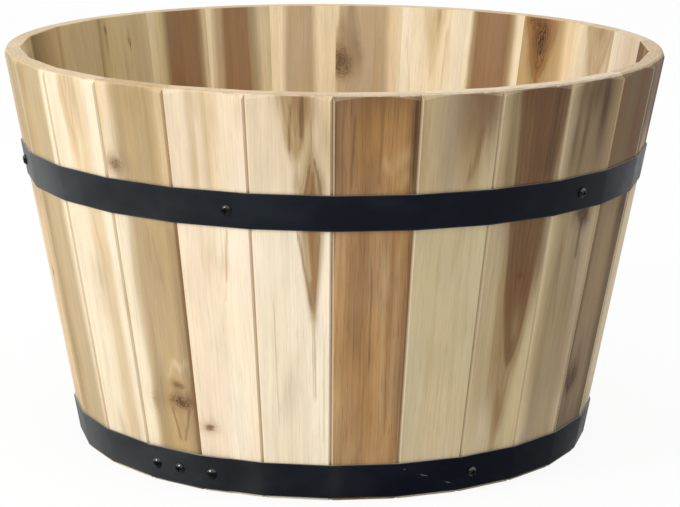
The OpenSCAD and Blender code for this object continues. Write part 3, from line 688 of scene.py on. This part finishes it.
def square_to_wood(paint, x, y, facing):
    """The strip's facing, with its flats turned part way round, so that light runs along it."""
    out = paint.put("VectorMath", {0: paint.place(x, y, 0.0)}, operation="NORMALIZE").outputs[0]
    out = paint.put("VectorMath", {0: out, 3: cos(stave_lean)}, operation="SCALE").outputs[0]
    out = paint.put("VectorMath", {0: out, 1: (0.0, 0.0, -sin(stave_lean))}, operation="ADD").outputs[0]
    flat = paint.put("VectorMath", {0: facing, 1: out}, operation="DOT_PRODUCT").outputs["Value"]
    pull = paint.put("VectorMath", {0: out, 3: paint.fade(flat, 0.7, 0.95, 0.0, 4.0)}, operation="SCALE")
    bent = paint.put("VectorMath", {0: facing, 1: pull.outputs[0]}, operation="ADD")
    return paint.put("VectorMath", {0: bent.outputs[0]}, operation="NORMALIZE").outputs[0]


def hoop_paint(name, middle_z, half_width, shine, dust_and_sheen, chips):
    """Satin black sprayed steel in metres; dust and sheen patches: (degrees round from the front,
    spread, strength), partly dust and partly painted sheen on the strip's sides; chips: (degrees round,
    height mm, long mm)."""
    paint = Finish(name)
    x, y, z = paint.apart(paint.put("TexCoord", {}).outputs["Object"])
    smear = paint.cloud_in((16, 16, 26), 3.0, 0.6)
    grit = paint.cloud_in((420, 420, 420), 2.0, 0.6)
    colour = paint.blend(paint.fade(smear, 0.45, 0.75, 0.0, 0.1), hoop_black, tone(66, 70, 76))
    turned = paint.sum("ARCTAN2", x, paint.times(y, -1.0))
    # Grey patches round the strip: the narrow ones are dust, and the broad ones on its sides are painted
    # sheen, where the strip turns towards the lamp and edge-on.
    for degrees_on, spread, strength in dust_and_sheen:
        away = paint.times(paint.less(turned, radians(degrees_on)), 1.0 / radians(spread))
        dust_and_sheen_share = paint.times(paint.sum("EXPONENT", paint.times(paint.squared(away), -1.0)), strength)
        dust_and_sheen_share = paint.times(dust_and_sheen_share, paint.fade(smear, 0.3, 0.65, 0.6, 1.05))
        colour = paint.blend(dust_and_sheen_share, colour, tone(84, 86, 86))
    colour = paint.blend(paint.fade(grit, 0.66, 0.78, 0.0, 0.06), colour, tone(90, 92, 94))
    edge = paint.sum("ABSOLUTE", paint.less(z, middle_z))
    rub = paint.fade(paint.add(edge, paint.times(paint.less(smear, 0.5), 0.0015)),
                     half_width - hoop_rubbed, half_width, 0.0, 0.3)
    colour = paint.blend(rub, colour, tone(96, 94, 92))
    for degrees_on, high, long in chips:
        along = paint.times(paint.less(turned, radians(degrees_on)), chip_radius)
        up = paint.less(paint.less(z, high / mm), paint.times(along, -0.3))
        near = paint.add(paint.times(paint.sum("ABSOLUTE", along), 2 * mm / long),
                         paint.times(paint.sum("ABSOLUTE", up), 2 * mm))
        bare = paint.fade(paint.add(near, paint.times(paint.less(grit, 0.5), 1.6)), 1.0, 0.5, 0.0, 0.55)
        colour = paint.blend(bare, colour, tone(150, 150, 148))

    facing = paint.put("NewGeometry", {}).outputs["Normal"]
    # Painted highlight: the strip's upward-facing top edge is lightened to pale grey.
    top_edge_highlight = paint.fade(paint.apart(facing)[2], 0.6, 0.9, 0.0, 0.5)
    colour = paint.blend(top_edge_highlight, colour, tone(200, 200, 196))
    dents = paint.add(paint.times(smear, 0.7), paint.times(grit, 0.06))
    bump = paint.put("Bump", {"Height": dents, "Strength": 0.6, "Distance": hoop_dent,
                              "Normal": square_to_wood(paint, x, y, facing)})
    paint.feed(colour, paint.shader.inputs["Base Color"])
    paint.feed(paint.fade(smear, 0.3, 0.7, 0.3, 0.44), paint.shader.inputs["Roughness"])
    paint.feed(bump.outputs[0], paint.shader.inputs["Normal"])
    paint.shader.inputs["Specular IOR Level"].default_value = shine
    return paint.material


# The broad grey patches are painted sheen on the strips' sides; the two narrow ones near the front of the
# lower hoop are dust.
hoop_finishes = {
    "upper_hoop": dict(shine=0.045, chips=(),
                       dust_and_sheen=((-70, 17, 0.85), (-38, 24, 0.17), (-150, 24, 0.5), (98, 22, 0.5))),
    "lower_hoop": dict(shine=0.016, chips=((15.2, 25.5, 2.5), (19.5, 18.5, 11.0), (25.2, 9.8, 10.0)),
                       dust_and_sheen=((-68, 17, 0.95), (-38, 24, 0.3), (-150, 24, 0.5), (-15.7, 2.5, 0.14),
                             (1, 2, 0.1), (118, 16, 0.4))),
}
for hoop, looks in hoop_finishes.items():
    low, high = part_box(hoop)
    dress(hoop, hoop_paint("black_" + hoop, (low[2] + high[2]) / 2, (high[2] - low[2]) / 2, **looks))

# Rivets and screws of the hoops: domed steel rivets through the lap and pan-head screws into the
# staves, both black and glossier than the strip, with a painted glint on their upper sides, where
# their shine is raised on upward faces.
head_black = (0.0016, 0.002, 0.003, 1.0)
head_dent = 0.00003


def black_head(name, rough, low_shine, glint_shine):
    """Glossy black steel; its shine low on the sides and raised on upward faces as a painted glint."""
    steel = Finish(name)
    rub = steel.cloud_in((300, 300, 300), 3.0, 0.6)
    fine = steel.cloud_in((1400, 1400, 1400), 2.0, 0.5)
    colour = steel.blend(steel.fade(rub, 0.56, 0.8, 0.0, 0.15), head_black, tone(70, 70, 70))
    steel.wear_on(colour, steel.fade(rub, 0.3, 0.7, rough - 0.06, rough + 0.1), fine, head_dent)
    # Painted glint: the shine is raised on faces that look upward, where the lamp's reflection falls.
    upward = steel.apart(steel.put("NewGeometry", {}).outputs["Normal"])[2]
    steel.feed(steel.fade(upward, 0.15, 0.48, low_shine, glint_shine),
               steel.shader.inputs["Specular IOR Level"])
    return steel.material


for heads, rough, low_shine in (("upper_hoop_rivets", 0.12, 0.07), ("lower_hoop_rivets", 0.12, 0.07),
                                ("upper_hoop_screws", 0.14, 0.16), ("lower_hoop_screws", 0.14, 0.16)):
    dress(heads, black_head("black_" + heads, rough, low_shine, 1.1))

# Batten screws: twelve yellow-plated countersunk wood screws, turned up through the battens into
# the floor, two in each board, with their heads flush in the battens.
plate = Finish("plated_batten_screws")
haze = plate.cloud_in((260, 260, 260), 3.0, 0.6)
fine = plate.cloud_in((1500, 1500, 1500), 2.0, 0.5)
gold = plate.blend(plate.fade(haze, 0.35, 0.7), tone(206, 178, 112), tone(176, 160, 128))
plate.wear_on(gold, plate.fade(haze, 0.3, 0.7, 0.28, 0.46), fine, head_dent)
plate.shader.inputs["Metallic"].default_value = 1.0
dress("batten_screws", plate.material)
